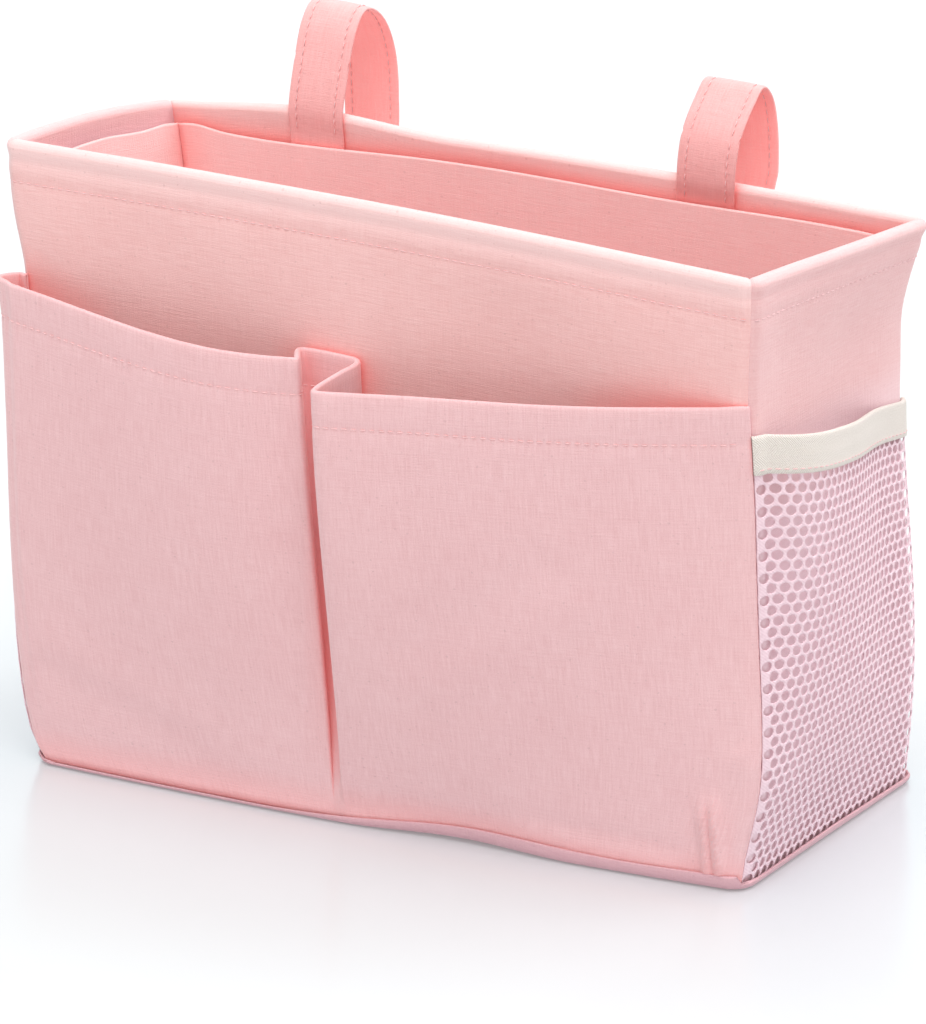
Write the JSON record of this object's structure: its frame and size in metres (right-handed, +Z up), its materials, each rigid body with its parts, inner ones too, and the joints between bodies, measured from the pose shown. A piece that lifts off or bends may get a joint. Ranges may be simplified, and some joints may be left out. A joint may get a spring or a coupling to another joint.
{
  "type": "bedside caddy",
  "caption": "Open-top canvas bedside caddy with pleated front pockets, net side pockets and hook-and-loop hanging straps.",
  "frame": {"origin": "centre of the flat underside, on the surface that the caddy stands on", "axes": "+X to the right along the long side, +Y towards the back with the hanging straps, +Z up; the pockets with the pleat face -Y"},
  "size_m": [0.3215, 0.181, 0.2642],
  "materials": {
    "canvas": "plain-woven cotton and linen canvas, dull, with slubs",
    "lining": "plain-woven canvas, dull, slightly deeper pink",
    "net": "warp-knitted polyester net with six-sided gaps",
    "tape": "cream herringbone cotton twill tape",
    "hook_and_loop": "white nylon hook-and-loop tape",
    "wire": "bright drawn steel wire",
    "stiffening": "needled felt sheet",
    "board": "plain extruded sheet"
  },
  "bodies": {
    "bag": {"front_panel": "canvas", "back_panel": "canvas", "left_side_panel": "canvas", "right_side_panel": "canvas", "bottom_panel": "canvas", "rim_wire": "wire", "front_stiffener": "stiffening", "right_stiffener": "stiffening", "back_stiffener": "stiffening", "left_stiffener": "stiffening", "base_board": "board", "lining_front": "lining", "lining_right": "lining", "lining_back": "lining", "lining_left": "lining", "lining_bottom": "lining", "front_pocket": "canvas", "left_net": "net", "left_net_tape": "tape", "right_net": "net", "right_net_tape": "tape", "strap_left_tail": "canvas", "strap_right_tail": "canvas", "loop_patch_left": "hook_and_loop", "loop_patch_right": "hook_and_loop"},
    "left_strap": {"strap_left_leg": "canvas"},
    "left_strap_flap": {"strap_left_flap": "canvas", "hook_patch_left": "hook_and_loop"},
    "right_strap": {"strap_right_leg": "canvas"},
    "right_strap_flap": {"strap_right_flap": "canvas", "hook_patch_right": "hook_and_loop"}
  },
  "joints": [
    {"name": "left_strap_lean", "type": "hinge", "parent": "bag", "child": "left_strap", "pos_m": [-0.08711, 0.05085, 0.2192], "axis": [0.9995, -0.0025, -0.0311], "range_deg": [0, 80]},
    {"name": "left_strap_open", "type": "hinge", "parent": "left_strap", "child": "left_strap_flap", "pos_m": [-0.08708, 0.06834, 0.263], "axis": [0.9992, -0.0054, -0.0398], "range_deg": [0, 120]},
    {"name": "right_strap_lean", "type": "hinge", "parent": "bag", "child": "right_strap", "pos_m": [0.07281, 0.05024, 0.21336], "axis": [0.9994, -0.0052, -0.0342], "range_deg": [0, 80]},
    {"name": "right_strap_open", "type": "hinge", "parent": "right_strap", "child": "right_strap_flap", "pos_m": [0.0764, 0.06525, 0.25336], "axis": [0.9992, -0.0057, -0.0384], "range_deg": [0, 120]}
  ]
}
